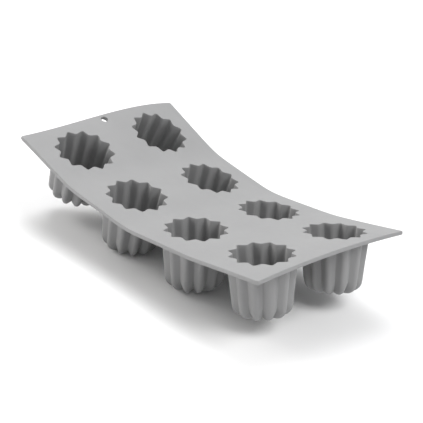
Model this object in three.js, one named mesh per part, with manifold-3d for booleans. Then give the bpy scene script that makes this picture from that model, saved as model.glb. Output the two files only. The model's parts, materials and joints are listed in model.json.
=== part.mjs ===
// A flexible baking mould for small fluted cakes, moulded in one colour of silicone rubber.
// A thin sheet carries fluted cups in two rows. The mould is shown flexed, with one end lifted higher
// than the other. The sheet is divided into stiff columns of two cups and the webs that bend between
// them, and the floor of each cup is divided from its wall, because a thumb pushes it up.
// Millimetres, +Z up, X along the sheet. The origin lies under the middle, where the mould stands.
import * as THREE from 'three';
import { mergeVertices } from 'three/addons/utils/BufferGeometryUtils.js';
import Module from 'manifold-3d';

// The sheet is a grid of equal cells, with one cup in the middle of each.
const cellLength = 75;
const cellWidth = 87.5;
const sheetThickness = 3.5;
const cornerRadius = 1.2;
const rowNames = ['front', 'back'];

// The hanging hole in the middle of the raised end.
const hangHoleDiameter = 6.5;
const hangHoleFromEdge = 6.5;

// The fluted cavity. The first two radii are at its mouth, on the top face of the sheet,
// and the base radius is the lobe's at the level of the cup's underside.
const fluteCount = 12;
const lobeTipRadius = 27.4;
const ridgeCrestRadius = 23.3;
const lobeRound = 1.8;
const ridgeRound = 3.3;
const baseTipRadius = 22;
const cavityDepth = 48.5;

// The moulded thickness round the cavity. The foot of the cup is rounded, more so in the grooves
// than on the lobes, down to a ring round its thinner floor.
const wallThickness = 2;
const floorThickness = 2;
const floorRecess = 0.5;
const floorRadius = 8.3;
const standWidth = 1;
const lobeFoot = 8.5;
const grooveFoot = 13.5;
const rimLand = 1.1;

// How the mould is flexed: the bend of each web in degrees, from the raised end, then how far the
// long edges drop below the middle line, and the heights by which edges and the raised end warp.
const webBends = [12, 12, 5];
const crossBow = 3.3;
const twist = 1.2;
const backCurl = 3.6;
const endCrown = 1.1;
const endSkew = 5.7;
const endReach = 97.5;

// The gap left where the moulding is divided.
const seam = 0.3;

// Steps of the facets.
const lobeSteps = { inside: 2, outside: 3 };
const ridgeSteps = { inside: 3, outside: 2 };
const footSteps = 3;
const floorSides = 24;
const cellSteps = 4;
const webSteps = 4;
const cornerSteps = 2;

const silicone = new THREE.Color(0xb0b0b1);
const columnCount = webBends.length + 1;
const rowCount = rowNames.length;
const sheetLength = columnCount * cellLength;
const sheetWidth = rowCount * cellWidth;
const cupHeight = cavityDepth + floorThickness;
const webWidth = cellLength - 2 * (lobeTipRadius + wallThickness + rimLand);

const columnPlace = (column) => (column - (columnCount - 1) / 2) * cellLength;
const rowPlace = (row) => (row - (rowCount - 1) / 2) * cellWidth;

const wasm = await Module();
wasm.setup();

function siliconeMesh(name, geometry) {
  geometry.computeVertexNormals();
  const material = new THREE.MeshStandardMaterial({ color: silicone, roughness: 0.6, metalness: 0 });
  const mesh = new THREE.Mesh(geometry, material);
  mesh.name = name;
  return mesh;
}

// The middle line of the sheet

// Place and slope at a distance along one stretch, which is an arc where it bends.
function walk(stretch, along) {
  const turn = (stretch.bend * along) / stretch.length;
  const chord = turn === 0 ? along : (along * Math.sin(turn / 2)) / (turn / 2);
  const heading = stretch.slope + turn / 2;
  return {
    s: stretch.s + along,
    x: stretch.x + chord * Math.cos(heading),
    z: stretch.z + chord * Math.sin(heading),
    slope: stretch.slope + turn,
  };
}

// The chain of straight columns and bent webs, from the raised end.
function chainOfStretches(firstSlope) {
  const stretches = [];
  let place = { s: -sheetLength / 2, x: 0, z: 0, slope: firstSlope };
  const add = (length, bend) => {
    const stretch = { ...place, length, bend };
    stretches.push(stretch);
    place = walk(stretch, length);
  };
  for (let column = 0; column < columnCount; column += 1) {
    const first = column === 0;
    const last = column === columnCount - 1;
    add(cellLength - webWidth + (first || last ? webWidth / 2 : 0), 0);
    if (!last) {
      add(webWidth, THREE.MathUtils.degToRad(webBends[column]));
    }
  }
  return stretches;
}

function placeOn(stretches, s) {
  const stretch = stretches.findLast((candidate) => candidate.s <= s) ?? stretches[0];
  return walk(stretch, s - stretch.s);
}

// The middle of the length is level.
const stretches = chainOfStretches(-placeOn(chainOfStretches(0), 0).slope);
const middleLine = (s) => placeOn(stretches, s);

// How far the sheet stands off its middle line: it bows across, as a strip bent lengthwise does,
// its back edge curls up more than its front one, and the raised end is crowned and skewed.
function lift(s, t) {
  const u = s / (sheetLength / 2);
  const v = t / (sheetWidth / 2);
  const end = Math.max(0, 1 - (s + sheetLength / 2) / endReach) ** 2;
  const arch = 1 - v * v;
  return -crossBow * v * v - twist * u * v + backCurl * u * u * v + end * arch * (endCrown + endSkew * v);
}

// A point of the flexed sheet, at a height above or below its top face.
function onSheet(s, t, height = 0) {
  const { x, z, slope } = middleLine(s);
  const rise = height + lift(s, t);
  return new THREE.Vector3(x - Math.sin(slope) * rise, t, z + Math.cos(slope) * rise);
}

// The frame of a place on the sheet: X along it, Y across it and Z out of its top face.
function frameOnSheet(s, t) {
  const probe = 1;
  const along = onSheet(s + probe, t).sub(onSheet(s - probe, t)).normalize();
  const across = onSheet(s, t + probe).sub(onSheet(s, t - probe));
  const out = along.clone().cross(across).normalize();
  const side = out.clone().cross(along);
  return new THREE.Matrix4().makeBasis(along, side, out).setPosition(onSheet(s, t));
}

function evenSteps(from, to, steps) {
  return Array.from({ length: steps + 1 }, (_, k) => from + ((to - from) * k) / steps);
}

// Closed surfaces from rings of points round one axis

// The angles of a ring's points about the axis, growing from its first point, with one full turn more.
function ringAngles(ring) {
  const turn = 2 * Math.PI;
  const first = Math.atan2(ring[0].y, ring[0].x);
  const angles = ring.map((point) => {
    const angle = Math.atan2(point.y, point.x);
    return angle < first ? angle + turn : angle;
  });
  return [...angles, first + turn];
}

// Joins each ring to the next and the last one to the first, whatever their numbers of points.
function stitchRings(rings) {
  const index = [];
  const starts = rings.map((_, k) => rings.slice(0, k).flat().length);
  rings.forEach((ring, k) => {
    const next = (k + 1) % rings.length;
    const a = (i) => starts[k] + (i % ring.length);
    const b = (j) => starts[next] + (j % rings[next].length);
    const anglesA = ringAngles(ring);
    const anglesB = ringAngles(rings[next]);
    let i = 0;
    let j = 0;
    while (i < ring.length || j < rings[next].length) {
      const behind = i === ring.length || anglesB[j + 1] <= anglesA[i + 1];
      if (behind && j < rings[next].length) {
        index.push(a(i), b(j), b(j + 1));
        j += 1;
      } else {
        index.push(a(i), b(j), a(i + 1));
        i += 1;
      }
    }
  });
  const geometry = new THREE.BufferGeometry().setFromPoints(rings.flat());
  geometry.setIndex(index);
  return geometry;
}

function toSolid(geometry) {
  const bare = new THREE.BufferGeometry();
  bare.setAttribute('position', geometry.getAttribute('position'));
  bare.setIndex(geometry.getIndex());
  const merged = mergeVertices(bare);
  return new wasm.Manifold(
    new wasm.Mesh({
      numProp: 3,
      vertProperties: new Float32Array(merged.getAttribute('position').array),
      triVerts: new Uint32Array(merged.getIndex().array),
    }),
  );
}

function fromSolid(solid) {
  const { vertProperties, triVerts } = solid.getMesh();
  const geometry = new THREE.BufferGeometry();
  geometry.setAttribute('position', new THREE.BufferAttribute(vertProperties, 3));
  geometry.setIndex(new THREE.BufferAttribute(triVerts, 1));
  return geometry;
}

// The fluted cup

// The flank between a lobe and a ridge is the line that touches both of their rounds.
const fluteHalfAngle = Math.PI / fluteCount;
const lobeCentre = lobeTipRadius - lobeRound;
const ridgeCentre = ridgeCrestRadius + ridgeRound;
const lobeToRidge = new THREE.Vector2(
  ridgeCentre * Math.cos(fluteHalfAngle) - lobeCentre,
  ridgeCentre * Math.sin(fluteHalfAngle),
);
const flankAngle = lobeToRidge.angle() - Math.acos((lobeRound + ridgeRound) / lobeToRidge.length());

// Shares of an arc from -1 to 1, each in the middle of its step.
const spread = (steps) => Array.from({ length: steps }, (_, k) => (2 * k + 1) / steps - 1);

// The cavity is straight through the sheet and then narrows evenly with depth.
function taperAt(depth) {
  const share = Math.max(0, depth - sheetThickness) / (cupHeight - sheetThickness);
  return 1 - (1 - baseTipRadius / lobeTipRadius) * share;
}

// Points round one level of the flutes, each on the round of a lobe or of a ridge. They face the way
// in which a wall thickens.
function flutePoints(side) {
  const points = [];
  for (let flute = 0; flute < fluteCount; flute += 1) {
    const lobe = 2 * flute * fluteHalfAngle;
    const ridge = lobe + fluteHalfAngle;
    for (const share of spread(lobeSteps[side])) {
      const facing = lobe + share * flankAngle;
      points.push({ centre: lobeCentre, toward: lobe, round: lobeRound, facing });
    }
    for (const share of spread(ridgeSteps[side])) {
      const facing = ridge + share * (fluteHalfAngle - flankAngle);
      points.push({ centre: ridgeCentre, toward: ridge, round: -ridgeRound, facing });
    }
  }
  return points;
}

// A point of the cavity's flutes at a depth, moved out by a growth.
function flutePoint({ centre, toward, round, facing }, depth, growth) {
  const taper = taperAt(depth);
  const reach = taper * round + growth;
  return new THREE.Vector3(
    taper * centre * Math.cos(toward) + reach * Math.cos(facing),
    taper * centre * Math.sin(toward) + reach * Math.sin(facing),
    -depth,
  );
}

const outsidePoints = flutePoints('outside');
const insidePoints = flutePoints('inside');
const outsideRing = (depth) => outsidePoints.map((point) => flutePoint(point, depth, wallThickness));
const insideRing = (depth) => insidePoints.map((point) => flutePoint(point, depth, 0));

// The radius of the foot on the outside of the cup at a point of the flutes.
function footRadius(point) {
  const mouth = flutePoint(point, 0, 0);
  const fromTip = lobeTipRadius - Math.hypot(mouth.x, mouth.y);
  return THREE.MathUtils.lerp(lobeFoot, grooveFoot, fromTip / (lobeTipRadius - ridgeCrestRadius));
}

// The rounded foot of a wall, from its straight side to its flat bottom.
function roundedFoot(points, depth, growth) {
  return evenSteps(0, Math.PI / 2, footSteps).map((turn) =>
    points.map((point) => {
      const radius = footRadius(point) + growth - wallThickness;
      const onFoot = flutePoint(point, depth - radius * (1 - Math.sin(turn)), growth);
      const reach = Math.hypot(onFoot.x, onFoot.y);
      const draw = Math.max(reach - radius * (1 - Math.cos(turn)), floorRadius + standWidth) / reach;
      return onFoot.multiply(new THREE.Vector3(draw, draw, 1));
    }),
  );
}

function floorCircle(depth) {
  return Array.from({ length: floorSides }, (_, k) => {
    const angle = (2 * Math.PI * k) / floorSides;
    return new THREE.Vector3(floorRadius * Math.cos(angle), floorRadius * Math.sin(angle), -depth);
  });
}

// The wall hangs from the underside of the sheet, so its top edge follows the flexed sheet.
function cupWall(s, t, frame) {
  const toCup = frame.clone().invert();
  const seated = (ring) =>
    ring.map((point) => {
      const seat = onSheet(s + point.x, t + point.y, -sheetThickness - seam).applyMatrix4(toCup);
      return new THREE.Vector3(point.x, point.y, seat.z);
    });
  const top = sheetThickness + seam;
  return stitchRings([
    seated(outsideRing(top)),
    ...roundedFoot(outsidePoints, cupHeight, wallThickness),
    floorCircle(cupHeight),
    floorCircle(cavityDepth),
    ...roundedFoot(insidePoints, cavityDepth, 0).toReversed(),
    seated(insideRing(top)),
  ]);
}

// The floor is a thin disc, drawn up a little so that the cup stands on the ring round it.
function cupFloor() {
  const radius = floorRadius - seam;
  const profile = [
    new THREE.Vector2(0, floorRecess - cupHeight),
    new THREE.Vector2(radius, floorRecess - cupHeight),
    new THREE.Vector2(radius, -cavityDepth),
    new THREE.Vector2(0, -cavityDepth),
  ];
  return new THREE.LatheGeometry(profile, floorSides).rotateX(Math.PI / 2);
}

// The sheet

// The sheet round one cup, as far as the webs, the next row and the sheet's edges.
function cellLimits(column, row) {
  const toWeb = (cellLength - webWidth) / 2;
  return {
    left: column === 0 ? -cellLength / 2 : -toWeb,
    right: column === columnCount - 1 ? cellLength / 2 : toWeb,
    low: -cellWidth / 2,
    high: cellWidth / 2,
    roundLeft: column === 0,
    roundRight: column === columnCount - 1,
    roundLow: row === 0,
    roundHigh: row === rowCount - 1,
  };
}

// A corner of a cell's outline, rounded where it is a corner of the whole sheet.
function cellCorner(x, y, rounded) {
  if (!rounded) {
    return [new THREE.Vector3(x, y, 0)];
  }
  const centre = new THREE.Vector3(x - Math.sign(x) * cornerRadius, y - Math.sign(y) * cornerRadius, 0);
  return evenSteps(0, Math.PI / 2, cornerSteps).map((angle) => {
    const out = new THREE.Vector3(Math.sign(x) * Math.cos(angle), Math.sign(y) * Math.sin(angle), 0);
    return out.multiplyScalar(cornerRadius).add(centre);
  });
}

// The outline of a cell, in order of angle about its cup.
function cellOutline(column, row) {
  const { left, right, low, high, roundLeft, roundRight, roundLow, roundHigh } = cellLimits(column, row);
  const points = [
    ...cellCorner(left, low, roundLeft && roundLow),
    ...cellCorner(right, low, roundRight && roundLow),
    ...cellCorner(left, high, roundLeft && roundHigh),
    ...cellCorner(right, high, roundRight && roundHigh),
  ];
  for (const x of evenSteps(left, right, cellSteps).slice(1, -1)) {
    points.push(new THREE.Vector3(x, low, 0), new THREE.Vector3(x, high, 0));
  }
  for (const y of evenSteps(low, high, cellSteps).slice(1, -1)) {
    points.push(new THREE.Vector3(left, y, 0), new THREE.Vector3(right, y, 0));
  }
  const fullTurn = 2 * Math.PI;
  const angleOf = (point) => (Math.atan2(point.y, point.x) + fullTurn) % fullTurn;
  return points.sort((a, b) => angleOf(a) - angleOf(b));
}

// A geometry made flat round the place of a cup, bent to the flexed sheet.
function bendToSheet(geometry, s, t) {
  const position = geometry.getAttribute('position');
  for (let k = 0; k < position.count; k += 1) {
    const point = onSheet(s + position.getX(k), t + position.getY(k), position.getZ(k));
    position.setXYZ(k, point.x, point.y, point.z);
  }
  return geometry;
}

// One cell of the sheet with the fluted opening of its cup.
function sheetCell(column, row) {
  const outline = cellOutline(column, row);
  const opening = insideRing(0);
  const atUnderside = (ring) => ring.map((point) => point.clone().setZ(-sheetThickness));
  const rings = [outline, atUnderside(outline), atUnderside(opening), opening];
  return bendToSheet(stitchRings(rings), columnPlace(column), rowPlace(row));
}

// The strip of sheet between two columns, clear of both by the seam.
function webStrip(s) {
  const half = webWidth / 2 - seam;
  const strip = new THREE.BoxGeometry(2 * half, sheetWidth, sheetThickness, webSteps, rowCount * cellSteps);
  return bendToSheet(strip.translate(0, 0, -sheetThickness / 2), s, 0);
}

function hangHoleCutter() {
  const radius = hangHoleDiameter / 2;
  const drill = new THREE.CylinderGeometry(radius, radius, 4 * sheetThickness, floorSides);
  const place = frameOnSheet(hangHoleFromEdge - sheetLength / 2, 0);
  return toSolid(drill.rotateX(Math.PI / 2).applyMatrix4(place));
}

// The line that a web bends about, in the middle of its thickness and of its bow, along Y.
function flexLine(s) {
  const depth = -sheetThickness / 2;
  const edges = onSheet(s, -sheetWidth / 2, depth).lerp(onSheet(s, sheetWidth / 2, depth), 0.5);
  return onSheet(s, 0, depth).lerp(edges, 0.5);
}

// The assembly

const mould = new THREE.Group();

for (let column = 0; column < columnCount; column += 1) {
  const cells = rowNames.map((_, row) => toSolid(sheetCell(column, row)));
  let deck = cells.reduce((joined, cell) => joined.add(cell));
  if (column === 0) {
    deck = deck.subtract(hangHoleCutter());
  }
  mould.add(siliconeMesh(`deck_column_${column + 1}`, fromSolid(deck)));

  rowNames.forEach((rowName, row) => {
    const [s, t] = [columnPlace(column), rowPlace(row)];
    const frame = frameOnSheet(s, t);
    const cup = new THREE.Group();
    cup.applyMatrix4(frame);
    cup.add(siliconeMesh(`cup_wall_${column + 1}_${rowName}`, cupWall(s, t, frame)));
    cup.add(siliconeMesh(`cup_floor_${column + 1}_${rowName}`, cupFloor()));
    mould.add(cup);
  });
}

for (let web = 0; web < columnCount - 1; web += 1) {
  const s = columnPlace(web + 0.5);
  const strip = siliconeMesh(`flex_web_${web + 1}_${web + 2}`, webStrip(s));
  strip.userData.flexLine = flexLine(s);
  mould.add(strip);
}

// The mould stands on its lowest cups, with the middle of its box over the origin.
const box = new THREE.Box3().setFromObject(mould, true);
const middle = box.getCenter(new THREE.Vector3());
mould.position.set(-middle.x, -middle.y, -box.min.z);

export default mould;
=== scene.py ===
import json
import math

import bmesh
import bpy
import numpy as np
from mathutils import Matrix, Vector


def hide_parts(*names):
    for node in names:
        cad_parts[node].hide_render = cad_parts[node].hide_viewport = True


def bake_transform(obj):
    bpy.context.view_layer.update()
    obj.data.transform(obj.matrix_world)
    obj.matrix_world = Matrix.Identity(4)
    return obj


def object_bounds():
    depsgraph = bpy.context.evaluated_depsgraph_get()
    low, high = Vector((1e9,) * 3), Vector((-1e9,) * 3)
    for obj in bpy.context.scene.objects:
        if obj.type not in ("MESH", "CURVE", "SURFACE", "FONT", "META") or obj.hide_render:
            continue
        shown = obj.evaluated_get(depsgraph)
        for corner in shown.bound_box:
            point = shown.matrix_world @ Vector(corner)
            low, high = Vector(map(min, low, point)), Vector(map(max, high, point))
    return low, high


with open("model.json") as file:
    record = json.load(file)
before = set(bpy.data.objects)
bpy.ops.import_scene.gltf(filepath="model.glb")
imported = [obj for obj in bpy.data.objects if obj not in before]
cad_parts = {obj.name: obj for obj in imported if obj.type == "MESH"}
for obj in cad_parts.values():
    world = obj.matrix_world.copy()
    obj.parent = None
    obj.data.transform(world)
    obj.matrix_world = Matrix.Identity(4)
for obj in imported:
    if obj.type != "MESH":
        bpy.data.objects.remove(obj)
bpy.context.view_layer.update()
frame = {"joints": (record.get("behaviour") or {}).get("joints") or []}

# Flexed sheet
# One thin sheet of grey silicone rubber, moulded together with its cups. It bends most in the webs
# between the columns of cups, bows across, and its raised end is crowned and skewed.
mm = 0.001
cell_length = 75 * mm
cell_width = 87.5 * mm
sheet_thickness = 3.5 * mm
row_names = ("front", "back")
web_bends = np.radians([12, 12, 5])
bend_reach = 22 * mm
cross_bow = 3.3 * mm
twist = 1.2 * mm
back_curl = 3.6 * mm
end_crown = 1.1 * mm
end_skew = 5.7 * mm
end_reach = 97.5 * mm
station_count = 2401

column_count = len(web_bends) + 1
row_count = len(row_names)
sheet_length = column_count * cell_length
sheet_width = row_count * cell_width
column_places = (np.arange(column_count) - (column_count - 1) / 2) * cell_length
row_places = (np.arange(row_count) - (row_count - 1) / 2) * cell_width
web_places = (column_places[1:] + column_places[:-1]) / 2
middle_web = web_places[1]


def turned_at(s):
    """How far the webs have turned the sheet at a distance along it. The middle web is level."""
    def turn(place):
        share = np.clip(np.subtract.outer(place, web_places) / bend_reach, -1, 1)
        return (1 + share + np.sin(np.pi * share) / np.pi) / 2 @ web_bends
    return turn(s) - turn(middle_web)


stations = np.linspace(-sheet_length / 2, sheet_length / 2, station_count)
station_step = stations[1] - stations[0]
middle_stations = stations[:-1] + station_step / 2
along_line = np.append(0, np.cumsum(np.cos(turned_at(middle_stations)) * station_step))
up_line = np.append(0, np.cumsum(np.sin(turned_at(middle_stations)) * station_step))
along_line -= np.interp(middle_web, stations, along_line)
up_line -= np.interp(middle_web, stations, up_line)

# The middle web's hinge lies half way down the sheet and half way down its bow. This sheet bends over a
# longer stretch than the solid web does, so the middle of its web stands higher over the same columns.
solid_web_width = 14 * mm
web_rise = web_bends[1] * (bend_reach * (1 / 4 - 1 / math.pi**2) - solid_web_width / 8)
middle_hinge = next(joint["pos_m"] for joint in frame["joints"] if joint["name"] == "flex_2_3")
sheet_origin = np.array(middle_hinge) + [0, 0, (sheet_thickness + cross_bow) / 2 + web_rise]


def lift(s, t):
    """How far the sheet stands off its middle line."""
    u = s / (sheet_length / 2)
    v = t / (sheet_width / 2)
    end = np.maximum(0, 1 - (s + sheet_length / 2) / end_reach) ** 2
    warp = end * (1 - v * v) * (end_crown + end_skew * v)
    return -cross_bow * v * v - twist * u * v + back_curl * u * u * v + warp


def on_sheet(s, t, height):
    """Points of the flexed sheet, at heights above or below its top face."""
    turned = turned_at(s)
    rise = height + lift(s, t)
    x = np.interp(s, stations, along_line) - np.sin(turned) * rise
    z = np.interp(s, stations, up_line) + np.cos(turned) * rise
    return sheet_origin + np.stack([x, t, z], axis=-1)


# Fluted openings
# Each cup opens through the sheet as a ring of narrow lobes with broader ridges between them.
# Their rim is barely broken by the mould, so it has a very small round.
flute_count = 12
lobe_tip_radius = 27.4 * mm
ridge_crest_radius = 23.3 * mm
lobe_round = 1.8 * mm
ridge_round = 3.3 * mm
base_tip_radius = 22 * mm
cup_height = 50.5 * mm
lip_round = 0.5 * mm
lobe_points, flank_points, ridge_points = 4, 3, 5

flute_half_angle = math.pi / flute_count
lobe_centre = lobe_tip_radius - lobe_round
ridge_centre = (ridge_crest_radius + ridge_round) * np.exp(1j * flute_half_angle)
flank_tilt = math.acos((lobe_round + ridge_round) / abs(ridge_centre - lobe_centre))
flank_angle = np.angle(ridge_centre - lobe_centre) - flank_tilt


def all_flutes(half):
    """Repeats half a flute, given as complex numbers, all round the ring."""
    one_flute = np.exp(2j * flute_half_angle)
    flute = np.concatenate([half, np.conj(half[-2:0:-1]) * one_flute])
    return np.concatenate([flute * one_flute**k for k in range(flute_count)])


lobe_turn = np.exp(1j * np.linspace(0, flank_angle, lobe_points))
ridge_turn = np.exp(1j * np.linspace(flank_angle, flute_half_angle, ridge_points))
lobe_line = lobe_centre + lobe_round * lobe_turn
ridge_line = ridge_centre - ridge_round * ridge_turn
flank_line = np.linspace(lobe_line[-1], ridge_line[0], flank_points + 2)[1:-1]
flank_turn = np.full(flank_points, lobe_turn[-1])
mouth_line = all_flutes(np.concatenate([lobe_line, flank_line, ridge_line]))
mouth_normals = all_flutes(np.concatenate([lobe_turn, flank_turn, ridge_turn]))


def flutes(depth, growth=0.0):
    """Outline of the flutes at a depth, as complex numbers, grown outwards by a wall."""
    taper = 1 - (1 - base_tip_radius / lobe_tip_radius) * depth / cup_height
    return mouth_line * taper + mouth_normals * growth


spoke_directions = flutes(0) / np.abs(flutes(0))
spoke_count = len(spoke_directions)
every_spoke = np.arange(spoke_count)

# Silicone rubber
# Filled grey silicone with the matte skin of a blasted mould. It has a faint grain, slightly uneven
# colour where the filler has flowed, and a soft, broad gloss.
deep_grey = (0.243, 0.243, 0.244, 1)
pale_grey = (0.257, 0.257, 0.258, 1)
smoothest, roughest = 0.56, 0.68
flow_scale, gloss_scale, grain_scale = 28, 160, 1500
grain_height = 0.04 * mm
crease_angle = math.radians(50)


def grey_silicone():
    """The rubber's material, with its flow marks, gloss and grain laid through the solid."""
    material = bpy.data.materials.new("grey_silicone")
    material.use_nodes = True
    nodes, links = material.node_tree.nodes, material.node_tree.links
    rubber = nodes["Principled BSDF"]
    rubber.inputs["IOR"].default_value = 1.41
    rubber.inputs["Specular IOR Level"].default_value = 0.4
    rubber.inputs["Sheen Weight"].default_value = 0.08
    rubber.inputs["Sheen Roughness"].default_value = 0.5
    place = nodes.new("ShaderNodeTexCoord")

    def noise(scale, detail):
        texture = nodes.new("ShaderNodeTexNoise")
        texture.inputs["Scale"].default_value = scale
        texture.inputs["Detail"].default_value = detail
        links.new(place.outputs["Object"], texture.inputs["Vector"])
        return texture.outputs["Fac"]

    tone = nodes.new("ShaderNodeValToRGB")
    deep_end, pale_end = tone.color_ramp.elements
    deep_end.position = 0.3
    deep_end.color = deep_grey
    pale_end.position = 0.7
    pale_end.color = pale_grey
    links.new(noise(flow_scale, 3), tone.inputs["Fac"])
    links.new(tone.outputs["Color"], rubber.inputs["Base Color"])

    gloss = nodes.new("ShaderNodeMapRange")
    gloss.inputs["To Min"].default_value = smoothest
    gloss.inputs["To Max"].default_value = roughest
    links.new(noise(gloss_scale, 2), gloss.inputs["Value"])
    links.new(gloss.outputs["Result"], rubber.inputs["Roughness"])

    grain = nodes.new("ShaderNodeBump")
    grain.inputs["Strength"].default_value = 0.25
    grain.inputs["Distance"].default_value = grain_height
    links.new(noise(grain_scale, 2), grain.inputs["Height"])
    links.new(grain.outputs["Normal"], rubber.inputs["Normal"])
    return material


silicone = grey_silicone()


def silicone_piece(name, points, faces):
    """A closed piece of silicone, smooth but for its hard edges."""
    mesh = bpy.data.meshes.new(name)
    mesh.from_pydata([tuple(point) for point in points], [], faces)
    shell = bmesh.new()
    shell.from_mesh(mesh)
    bmesh.ops.recalc_face_normals(shell, faces=shell.faces)
    shell.to_mesh(mesh)
    shell.free()
    mesh.shade_smooth()
    mesh.set_sharp_from_angle(angle=crease_angle)
    mesh.materials.append(silicone)
    piece = bpy.data.objects.new(name, mesh)
    bpy.context.scene.collection.objects.link(piece)
    return piece


# Deck plates
# The sheet between the cups and out to its rounded rim. It is one skin on the real mould; here it is
# three plates that meet across the middles of the inner columns, so that each one bends at one web.
corner_radius = 1.2 * mm
rim_round = 0.7 * mm
rim_guard = 0.3 * mm
lip_guard = 0.2 * mm
lip_steps, rim_steps, deck_steps = 4, 4, 8
least_slope = 1e-9
smallest_area = 1e-11
weld_digits = 4


def cell_edge(column, row, inset):
    """Where the spokes from a cup's axis leave its cell, and which of them end at the sheet's rim.
    The inset draws in only the sides on the rim, and the sheet's own corners are rounded."""
    on_rim = {"left": column == 0, "right": column == column_count - 1,
              "low": row == 0, "high": row == row_count - 1}
    x_side = np.where(spoke_directions.real < 0, on_rim["left"], on_rim["right"])
    y_side = np.where(spoke_directions.imag < 0, on_rim["low"], on_rim["high"])
    x_limit = cell_length / 2 - inset * x_side
    y_limit = cell_width / 2 - inset * y_side
    to_x = x_limit / np.maximum(np.abs(spoke_directions.real), least_slope)
    to_y = y_limit / np.maximum(np.abs(spoke_directions.imag), least_slope)
    edge = spoke_directions * np.minimum(to_x, to_y)
    ends_at_rim = np.where(to_x < to_y, x_side, y_side)

    for sign_x, sign_y in ((1, 1), (-1, 1), (-1, -1), (1, -1)):
        to_corner = complex(sign_x * cell_length / 2, sign_y * cell_width / 2)
        spoke = np.argmin(np.abs(np.angle(spoke_directions / to_corner)))
        limit = complex(sign_x * x_limit[spoke], sign_y * y_limit[spoke])
        if x_side[spoke] and y_side[spoke]:
            centre = limit - complex(sign_x, sign_y) * (corner_radius - inset)
            past_x = (edge.real - centre.real) * sign_x > 0
            past_y = (edge.imag - centre.imag) * sign_y > 0
            toward = spoke_directions[past_x & past_y]
            nearest = (toward.conjugate() * centre).real
            off_axis = np.abs(centre) ** 2 - nearest**2
            edge[past_x & past_y] = toward * (nearest + np.sqrt((corner_radius - inset) ** 2 - off_axis))
        else:
            edge[spoke] = limit
            ends_at_rim[spoke] = x_side[spoke] or y_side[spoke]
    return edge, ends_at_rim


def cell_rings(column, row):
    """Rings of a cell, as outlines with heights: over the top, round the rim and back underneath."""
    top = [(flutes(sheet_thickness), -sheet_thickness)]
    for turn in np.linspace(0, math.pi / 2, lip_steps + 1):
        drop = lip_round * (1 - math.sin(turn))
        top.append((flutes(drop, lip_round * (1 - math.cos(turn))), -drop))
    inner = flutes(0, lip_round + lip_guard)
    outer = cell_edge(column, row, rim_round + rim_guard)[0]
    span = [inner + (outer - inner) * share for share in np.linspace(0, 1, deck_steps + 1)]
    top += [(ring, 0.0) for ring in span]
    top.append((cell_edge(column, row, rim_round)[0], 0.0))

    rim = []
    for turn in np.linspace(0, math.pi / 2, rim_steps + 1):
        edge = cell_edge(column, row, rim_round * (1 - math.sin(turn)))[0]
        rim.append((edge, -rim_round * (1 - math.cos(turn))))
    rim += [(edge, -sheet_thickness - height) for edge, height in reversed(rim)]

    under = [(rim[-1][0], -sheet_thickness)]
    under += [(ring, -sheet_thickness) for ring in reversed(span)]
    under.append(top[0])
    return top, rim, under


def deck_plate(name, cells):
    """A flat plate made of cells, each given as its column, its row and the spokes that it has."""
    points, place_of, faces = [], {}, []

    def vertex(column, row, ring, spoke):
        """The number of a point, which cells that share it name alike."""
        outline, height = ring
        s = column_places[column] + outline[spoke].real
        t = row_places[row] + outline[spoke].imag
        key = tuple(round(measure / mm, weld_digits) for measure in (s, t, height))
        if key not in place_of:
            place_of[key] = len(points)
            points.append((s, t, height))
        return place_of[key]

    def add_face(corners):
        """Adds a face, unless its corners fall together or in one line."""
        loop = np.array([points[corner] for corner in corners])
        doubled_area = np.cross(loop, np.roll(loop, -1, axis=0)).sum(axis=0)
        if np.linalg.norm(doubled_area) > smallest_area:
            faces.append([c for c, before in zip(corners, corners[-1:] + corners[:-1]) if c != before])

    for column, row, spokes in cells:
        top, rim, under = cell_rings(column, row)
        ends_at_rim = cell_edge(column, row, 0)[1]
        closed = len(spokes) == spoke_count
        following = np.roll(spokes, -1)
        for a, b in list(zip(spokes, following))[: None if closed else -1]:
            strips = [top, rim, under] if ends_at_rim[a] and ends_at_rim[b] else [top, under]
            for strip in strips:
                for ring, after in zip(strip, strip[1:]):
                    add_face([vertex(column, row, ring, a), vertex(column, row, after, a),
                              vertex(column, row, after, b), vertex(column, row, ring, b)])
        if not closed:
            for end in (spokes[0], spokes[-1]):
                loop = top + (rim if ends_at_rim[end] else []) + under
                add_face([vertex(column, row, ring, end) for ring in loop])
    return silicone_piece(name, points, faces)


right_half = np.arange(-spoke_count // 4, spoke_count // 4 + 1) % spoke_count
left_half = np.arange(spoke_count // 4, 3 * spoke_count // 4 + 1)


def both_rows(column, spokes):
    """The front and the back cell of a column, whole or cut through the middle."""
    return [(column, row, spokes) for row in range(row_count)]


raised_plate = deck_plate("deck_raised_end", both_rows(0, every_spoke) + both_rows(1, left_half))
middle_plate = deck_plate("deck_middle", both_rows(1, right_half) + both_rows(2, left_half))
low_plate = deck_plate("deck_low_end", both_rows(2, right_half) + both_rows(3, every_spoke))

# Hanging hole
# A small round hole through the middle of the raised end, moulded with softly rounded edges,
# so that the mould can hang on a hook.
hole_radius = 3.25 * mm
hole_from_edge = 6.5 * mm
hole_round = 0.5 * mm
hole_sides, hole_round_steps = 48, 4
weld_gap = 0.001 * mm


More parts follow.
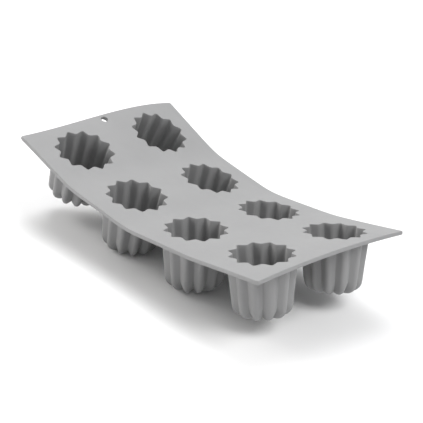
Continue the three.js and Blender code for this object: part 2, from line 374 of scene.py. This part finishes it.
def hole_cutter():
    """A spool that widens towards both faces of the sheet."""
    profile = [(hole_radius + hole_round, sheet_thickness)]
    for turn in np.linspace(0, math.pi / 2, hole_round_steps + 1):
        radius = hole_radius + hole_round * (1 - math.sin(turn))
        profile.append((radius, -hole_round * (1 - math.cos(turn))))
    profile += [(radius, -sheet_thickness - height) for radius, height in reversed(profile)]

    points, faces = [], []
    for radius, height in profile:
        for turn in np.exp(2j * np.pi * np.arange(hole_sides) / hole_sides):
            s = radius * turn.real + hole_from_edge - sheet_length / 2
            points.append((s, radius * turn.imag, height))
    faces.append(list(range(hole_sides)))
    faces.append(list(range(len(points) - hole_sides, len(points))))
    for ring in range(len(profile) - 1):
        for k in range(hole_sides):
            a, b = ring * hole_sides + k, ring * hole_sides + (k + 1) % hole_sides
            faces.append([a, b, b + hole_sides, a + hole_sides])
    return silicone_piece("hole_cutter", points, faces)


cutter = hole_cutter()
drill = raised_plate.modifiers.new("drill", "BOOLEAN")
drill.object = cutter
drill.solver = "EXACT"
drilled_plate = raised_plate.evaluated_get(bpy.context.evaluated_depsgraph_get())
drilled = bpy.data.meshes.new_from_object(drilled_plate)
raised_plate.modifiers.remove(drill)
raised_plate.data = drilled
bpy.data.objects.remove(cutter)

# The cut leaves points double where the rows of cells meet at the hole.
shell = bmesh.new()
shell.from_mesh(drilled)
bmesh.ops.remove_doubles(shell, verts=shell.verts, dist=weld_gap)
shell.to_mesh(drilled)
shell.free()
drilled.set_sharp_from_angle(angle=crease_angle)

# Flex webs
# The strips of sheet between the columns, where the mould curls. They are plain sheet, moulded in one
# with the columns, so each plate turns smoothly across its web and stays flat on both sides of it.
web_half_width = 9.5 * mm
web_sides = np.array([-web_half_width, web_half_width])


def bend_plate(plate):
    """Takes a plate from its flat state to the flexed sheet."""
    flat = np.array([v.co for v in plate.data.vertices], float)
    bent = on_sheet(flat[:, 0], flat[:, 1], flat[:, 2])
    plate.data.vertices.foreach_set("co", bent.astype(np.float32).ravel())
    plate.data.update()


for web, plate in enumerate((raised_plate, middle_plate, low_plate)):
    bend_plate(plate)
    start, end = on_sheet(web_places[web] + web_sides, np.zeros(2), 0.0)
    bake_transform(plate)
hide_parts("deck_column_1", "flex_web_1_2")
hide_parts("deck_column_2", "flex_web_2_3")
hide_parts("deck_column_3", "flex_web_3_4", "deck_column_4")

# Fluted cups
# Each cup is a thin tapered wall of even thickness, fluted inside and out, with a rounded foot and a
# thinner floor drawn up inside the ring that it stands on. It is moulded in one with the sheet.
wall_thickness = 2 * mm
root_round = 1 * mm
cavity_depth = 48.5 * mm
lobe_foot = 8.5 * mm
groove_foot = 13.5 * mm
stand_radius = 9.3 * mm
floor_radius = 8.3 * mm
floor_recess = 0.5 * mm
floor_margin = 1 * mm
settle_depth = 12 * mm
push_from, push_to = 20 * mm, 42 * mm
wall_steps, foot_steps, root_steps = 16, 10, 4
probe = 1 * mm

# The soft step up from the standing ring to the floor, as distances inwards and upwards.
recess_step = ((0, 0), (0.25 * mm, 0.1 * mm), (0.5 * mm, 0.45 * mm), (0.8 * mm, floor_recess))
groove_share = (lobe_tip_radius - np.abs(mouth_line)) / (lobe_tip_radius - ridge_crest_radius)
foot_round = lobe_foot + (groove_foot - lobe_foot) * groove_share


def foot(depth, growth, radius):
    """Outlines with depths of the rounded foot, from the wall's side in to its flat bottom. The grooves
    round off earlier than the lobes, so the foot is scalloped."""
    rings = []
    for turn in np.linspace(0, math.pi / 2, foot_steps + 1):
        at = depth - radius * (1 - math.sin(turn))
        ring = flutes(at, growth)
        drawn_in = np.maximum(np.abs(ring) - radius * (1 - math.cos(turn)), stand_radius)
        rings.append((ring / np.abs(ring) * drawn_in, at))
    return rings


def cup_rings():
    """Outlines with depths: down the outside and under the floor, then over the floor and up inside."""
    outside = []
    for turn in np.linspace(0, math.pi / 2, root_steps + 1):
        drop = root_round * (1 - math.cos(turn))
        depth = np.full(spoke_count, sheet_thickness + drop)
        outside.append((flutes(depth, wall_thickness + root_round * (1 - math.sin(turn))), depth))
    outer_foot = foot(cup_height, wall_thickness, foot_round)
    for depth in np.linspace(outside[-1][1], outer_foot[0][1], wall_steps + 1)[1:-1]:
        outside.append((flutes(depth, wall_thickness), depth))
    outside += outer_foot
    for inwards, upwards in recess_step:
        outside.append(((floor_radius - inwards) * spoke_directions, cup_height - upwards))
    half_floor = floor_radius / 2 * spoke_directions
    outside.append((half_floor, cup_height - floor_recess))

    inside = [(half_floor, cavity_depth)]
    inside.append(((floor_radius - floor_margin) * spoke_directions, cavity_depth))
    inner_foot = foot(cavity_depth, 0.0, foot_round - wall_thickness)
    inside += reversed(inner_foot)
    mouth = np.full(spoke_count, sheet_thickness)
    for depth in np.linspace(inner_foot[0][1], mouth, wall_steps + 1)[1:]:
        inside.append((flutes(depth), depth))
    return outside, inside


def cup_frame(s, t):
    """Origin, axes along and across the sheet, and the outward normal at the middle of a cup's mouth."""
    origin, right, left, far, near = on_sheet(
        s + probe * np.array([0, 1, -1, 0, 0]), t + probe * np.array([0, 0, 0, 1, -1]), 0.0)
    along = (right - left) / np.linalg.norm(right - left)
    out = np.cross(along, far - near)
    out /= np.linalg.norm(out)
    return origin, along, np.cross(out, along), out


def cup(name, s, t):
    """One cup, hung from the flexed sheet at its top and true to its own axis lower down. Gives the
    piece, the middle of its mouth and the way that the mouth faces."""
    origin, along, side, out = cup_frame(s, t)

    def place(outline, depth):
        depth = np.broadcast_to(depth, outline.shape)
        hung = on_sheet(s + outline.real, t + outline.imag, -depth)
        true = origin + np.outer(outline.real, along) + np.outer(outline.imag, side) - np.outer(depth, out)
        share = np.clip((depth - sheet_thickness) / settle_depth, 0, 1)
        share = (share * share * (3 - 2 * share))[:, None]
        return hung + (true - hung) * share

    outside, inside = cup_rings()
    rings = [place(outline, depth) for outline, depth in outside + inside]
    under_middle = origin - out * (cup_height - floor_recess)
    floor_middle = origin - out * cavity_depth
    points = np.concatenate(rings + [under_middle[None], floor_middle[None]])
    under_centre, floor_centre = len(points) - 2, len(points) - 1

    # The last ring outside and the first inside aren't joined: each is closed by a fan of its own.
    following = np.roll(every_spoke, -1)
    faces = []
    for ring in range(len(rings)):
        if ring != len(outside) - 1:
            a, b = ring * spoke_count, (ring + 1) % len(rings) * spoke_count
            faces += [(a + k, a + n, b + n, b + k) for k, n in zip(every_spoke, following)]
    low, high = (len(outside) - 1) * spoke_count, len(outside) * spoke_count
    faces += [(low + k, low + n, under_centre) for k, n in zip(every_spoke, following)]
    faces += [(high + n, high + k, floor_centre) for k, n in zip(every_spoke, following)]
    return silicone_piece(name, points, [[int(v) for v in face] for face in faces]), origin, out


for column, s in enumerate(column_places, start=1):
    for row_name, t in zip(row_names, row_places):
        cup_place = f"{column}_{row_name}"
        piece, mouth, out = cup(f"cup_{cup_place}", s, t)
        start, end = mouth - out * push_from, mouth - out * push_to
        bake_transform(piece)
        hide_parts(f"cup_wall_{cup_place}", f"cup_floor_{cup_place}")

# Studio floor
# A plain sheet of matte white paper that runs out of sight, level under the lowest cups. Its glow is
# painted light: it grows away from the mould, in place of lamplight that falls off there. It isn't
# part of the mould.
floor_size = 12.0
glow_from, glow_to = 0.6, 2.4
far_glow = 0.66


def pale_floor():
    """Matte white paper. Its glow is painted light, which makes up for the lights' fall-off far from the
    mould.
    """
    material = bpy.data.materials.new("pale_floor")
    material.use_nodes = True
    nodes, links = material.node_tree.nodes, material.node_tree.links
    paper = nodes["Principled BSDF"]
    paper.inputs["Base Color"].default_value = (0.8, 0.8, 0.8, 1)
    paper.inputs["Roughness"].default_value = 0.9
    paper.inputs["Specular IOR Level"].default_value = 0.0
    paper.inputs["Emission Color"].default_value = (1, 1, 1, 1)
    place = nodes.new("ShaderNodeTexCoord")
    reach = nodes.new("ShaderNodeVectorMath")
    reach.operation = "LENGTH"
    links.new(place.outputs["Object"], reach.inputs[0])
    glow = nodes.new("ShaderNodeMapRange")
    glow.interpolation_type = "SMOOTHSTEP"
    glow.inputs["From Min"].default_value = glow_from
    glow.inputs["From Max"].default_value = glow_to
    glow.inputs["To Max"].default_value = far_glow
    links.new(reach.outputs["Value"], glow.inputs["Value"])
    links.new(glow.outputs["Result"], paper.inputs["Emission Strength"])
    return material


half_size = floor_size / 2
floor_corners = [(x * half_size, y * half_size, 0) for x, y in ((-1, -1), (1, -1), (1, 1), (-1, 1))]
floor_mesh = bpy.data.meshes.new("studio_floor")
floor_mesh.from_pydata(floor_corners, [], [(0, 1, 2, 3)])
floor_mesh.materials.append(pale_floor())
studio_floor = bpy.data.objects.new("studio_floor", floor_mesh)
studio_floor.location.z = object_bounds()[0][2]
bpy.context.scene.collection.objects.link(studio_floor)

# Studio light
# A tent of white cloth, brightest at the horizon, and four large soft lights: a key and a weak fill
# from the left, one high on the right and one overhead.
cool_white = (0.985, 0.99, 1)
warm_white = (1, 0.985, 0.965)
plain_white = (1, 1, 1)
bright_below, dim_above = math.radians(4), math.radians(16)
horizon_strength, overhead_strength = 1.0, 0.46
light_aim = Vector((0, 0, 0.04))


def white_tent():
    """A tent of soft light, white at the horizon and dimmer overhead."""
    world = bpy.data.worlds.new("white_tent")
    world.use_nodes = True
    nodes, links = world.node_tree.nodes, world.node_tree.links
    cloth = nodes["Background"]
    cloth.inputs["Color"].default_value = (*cool_white, 1)
    direction = nodes.new("ShaderNodeTexCoord")
    height = nodes.new("ShaderNodeSeparateXYZ")
    links.new(direction.outputs["Generated"], height.inputs["Vector"])
    fade = nodes.new("ShaderNodeMapRange")
    fade.interpolation_type = "SMOOTHSTEP"
    fade.inputs["From Min"].default_value = math.sin(bright_below)
    fade.inputs["From Max"].default_value = math.sin(dim_above)
    fade.inputs["To Min"].default_value = horizon_strength
    fade.inputs["To Max"].default_value = overhead_strength
    links.new(height.outputs["Z"], fade.inputs["Value"])
    links.new(fade.outputs["Result"], cloth.inputs["Strength"])
    return world


def softbox(name, place, size, power, colour):
    """A square soft light that faces the mould."""
    light = bpy.data.lights.new(name, "AREA")
    light.size = size
    light.energy = power
    light.color = colour
    lamp = bpy.data.objects.new(name, light)
    lamp.location = place
    lamp.rotation_euler = (light_aim - lamp.location).to_track_quat("-Z", "Y").to_euler()
    bpy.context.scene.collection.objects.link(lamp)


bpy.context.scene.world = white_tent()
softbox("key_light", place=(-1.76, -0.82, 1.07), size=1.2, power=25, colour=warm_white)
softbox("fill_light", place=(-1.08, -1.88, 0.43), size=0.8, power=11, colour=warm_white)
softbox("right_light", place=(1.22, 0.33, 1.84), size=1.2, power=33, colour=plain_white)
softbox("top_light", place=(-0.84, 0.71, 1.95), size=1.2, power=31, colour=cool_white)

# Camera
# It stands where the photograph was taken from, with a long lens, and is rolled a little to the side.
# Its place is given from the middle of the sheet's top face.
camera_place = Vector(sheet_origin) + Vector((0.71629, -0.76507, 0.44453))
camera_forward = Vector((-0.62290, 0.67594, -0.39383))
camera_up = Vector((-0.37898, 0.17968, 0.90779))
camera_right = camera_forward.cross(camera_up)
camera_turn = Matrix((camera_right, camera_up, -camera_forward)).transposed().to_4x4()
lens = bpy.data.cameras.new("camera")
lens.sensor_width = 36
lens.lens = 112.02
lens.shift_x = -0.0006
lens.shift_y = -0.0011
camera = bpy.data.objects.new("camera", lens)
camera.matrix_world = Matrix.Translation(camera_place) @ camera_turn
bpy.context.scene.collection.objects.link(camera)
bpy.context.scene.camera = camera
bpy.context.scene.view_settings.view_transform = "Standard"
